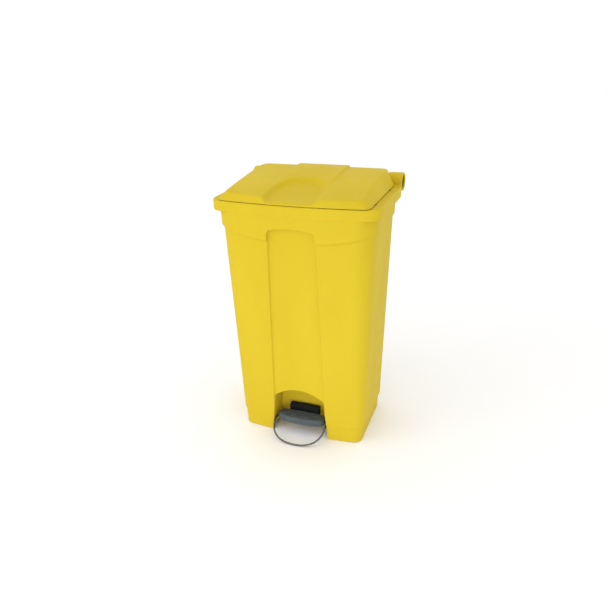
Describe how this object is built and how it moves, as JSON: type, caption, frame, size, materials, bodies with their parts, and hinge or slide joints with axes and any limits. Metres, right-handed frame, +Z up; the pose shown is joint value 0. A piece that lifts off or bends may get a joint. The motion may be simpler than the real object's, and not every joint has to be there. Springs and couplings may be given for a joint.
{
  "type": "pedal bin",
  "caption": "Tall tapered plastic waste bin with a hinged lid, a front pedal in an alcove that lifts it by a rear push rod, a wire stabiliser and rear wheels.",
  "frame": {"origin": "middle of the bounding box, on the floor", "axes": "+X across the bin, -Y towards the pedal at the front, +Z up"},
  "size_m": [0.496, 0.3978, 0.8226],
  "materials": {
    "yellow_plastic": "fine satin moulded texture",
    "pedal_plastic": "matt with fine ribs",
    "dark_plastic": "matt black",
    "zinc_steel": "zinc plated",
    "wire_steel": "drawn wire",
    "fastener_steel": "zinc plated",
    "wheel_plastic": "matt",
    "tyre_rubber": "matt rubber",
    "buffer_rubber": "matt rubber"
  },
  "bodies": {
    "bin": {"tub": "yellow_plastic", "lid_buffers": "buffer_rubber", "hinge_tube": "zinc_steel", "hinge_plug_left": "dark_plastic", "hinge_plug_right": "dark_plastic", "pedal_axle": "zinc_steel", "pedal_bracket_left": "zinc_steel", "pedal_bracket_right": "zinc_steel", "axle_clips": "fastener_steel", "bracket_screws": "fastener_steel", "pedal_stop": "buffer_rubber", "rod_guide_lower": "dark_plastic", "rod_guide_upper": "dark_plastic", "guide_screws": "fastener_steel", "stabiliser_loop": "wire_steel", "loop_saddles": "yellow_plastic", "loop_screws": "fastener_steel", "wheel_fork_left": "zinc_steel", "wheel_fork_right": "zinc_steel", "wheel_pin_left": "zinc_steel", "wheel_pin_right": "zinc_steel", "wheel_pin_caps": "fastener_steel", "wheel_fork_screws": "fastener_steel"},
    "lid_assembly": {"lid": "yellow_plastic", "lid_bush_left": "dark_plastic", "lid_bush_right": "dark_plastic", "lid_arm": "zinc_steel", "lid_arm_screws": "fastener_steel", "upper_link_pin": "zinc_steel"},
    "pedal_assembly": {"pedal_lever": "zinc_steel", "pedal_bush": "dark_plastic", "lower_link_pin": "zinc_steel", "pedal_pad": "pedal_plastic", "pedal_heel": "dark_plastic", "pedal_screws": "fastener_steel"},
    "rod_assembly": {"push_rod": "zinc_steel", "rod_eye_lower": "dark_plastic", "rod_eye_upper": "dark_plastic"},
    "wheel_left_assembly": {"wheel_left": "wheel_plastic", "tyre_left": "tyre_rubber"},
    "wheel_right_assembly": {"wheel_right": "wheel_plastic", "tyre_right": "tyre_rubber"}
  },
  "joints": [
    {"name": "lid_hinge", "type": "hinge", "parent": "bin", "child": "lid_assembly", "pos_m": [0, 0.1714, 0.775], "axis": [-1, 0, 0], "range_deg": [0, 72]},
    {"name": "pedal_pivot", "type": "hinge", "parent": "bin", "child": "pedal_assembly", "pos_m": [0, -0.0076, 0.046], "axis": [1, 0, 0], "range_deg": [0, 16.4]},
    {"name": "rod_slide", "type": "slide", "parent": "bin", "child": "rod_assembly", "axis": [0, 0.0151, 0.9999], "range_m": [0, 0.0392]},
    {"name": "wheel_left_spin", "type": "hinge", "parent": "bin", "child": "wheel_left_assembly", "pos_m": [-0.135, 0.1214, 0.0312], "axis": [1, 0, 0], "continuous": true},
    {"name": "wheel_right_spin", "type": "hinge", "parent": "bin", "child": "wheel_right_assembly", "pos_m": [0.135, 0.1214, 0.0312], "axis": [1, 0, 0], "continuous": true}
  ],
  "couplings": [
    {"joint": "pedal_pivot", "follows": "lid_hinge", "ratio": 0.2277},
    {"joint": "rod_slide", "follows": "lid_hinge", "m_per_rad": 0.03119}
  ]
}
